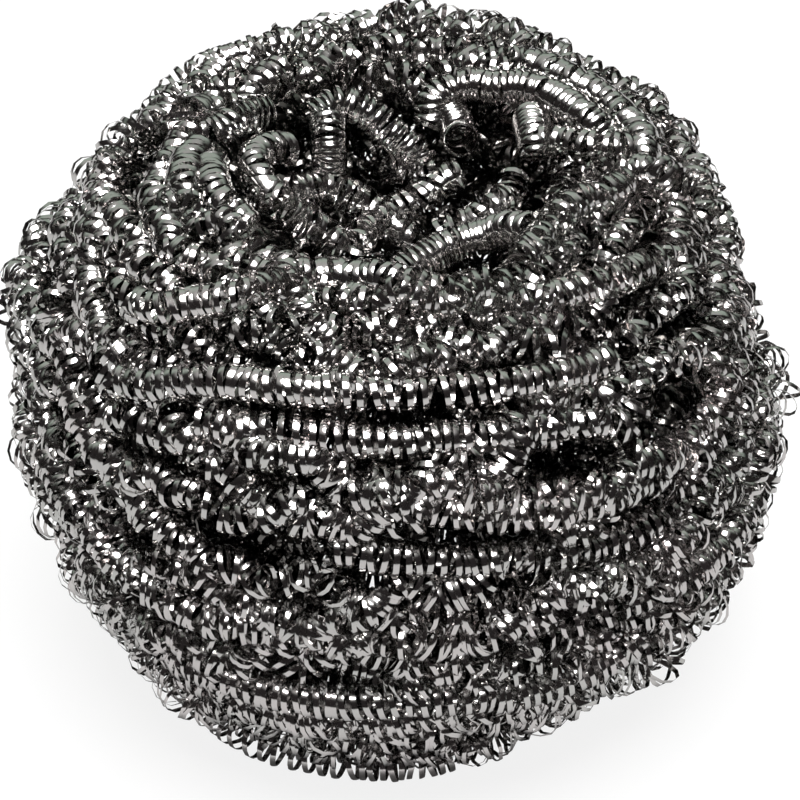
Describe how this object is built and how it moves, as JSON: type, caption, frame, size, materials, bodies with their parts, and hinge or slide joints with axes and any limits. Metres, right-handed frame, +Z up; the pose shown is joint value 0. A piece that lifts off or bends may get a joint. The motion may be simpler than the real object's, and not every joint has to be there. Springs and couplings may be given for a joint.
{
  "type": "stainless steel scourer",
  "caption": "Round scouring pad: flat stainless ribbon curled into a springy coil strand and wound into a squat ball with a hollow top.",
  "frame": {"origin": "middle of the ball's box, on the surface it stands on", "axes": "+Z up, along the axis that the strand is wound round; the picture looks along +Y and down"},
  "size_m": [0.0774, 0.0778, 0.0599],
  "materials": {
    "stainless_ribbon": "bright flat stainless ribbon, 0.8 mm wide, rolled smooth and curled into a 3.7 mm coil"
  },
  "bodies": {
    "root": {"wound_coil": "stainless_ribbon"}
  },
  "joints": []
}
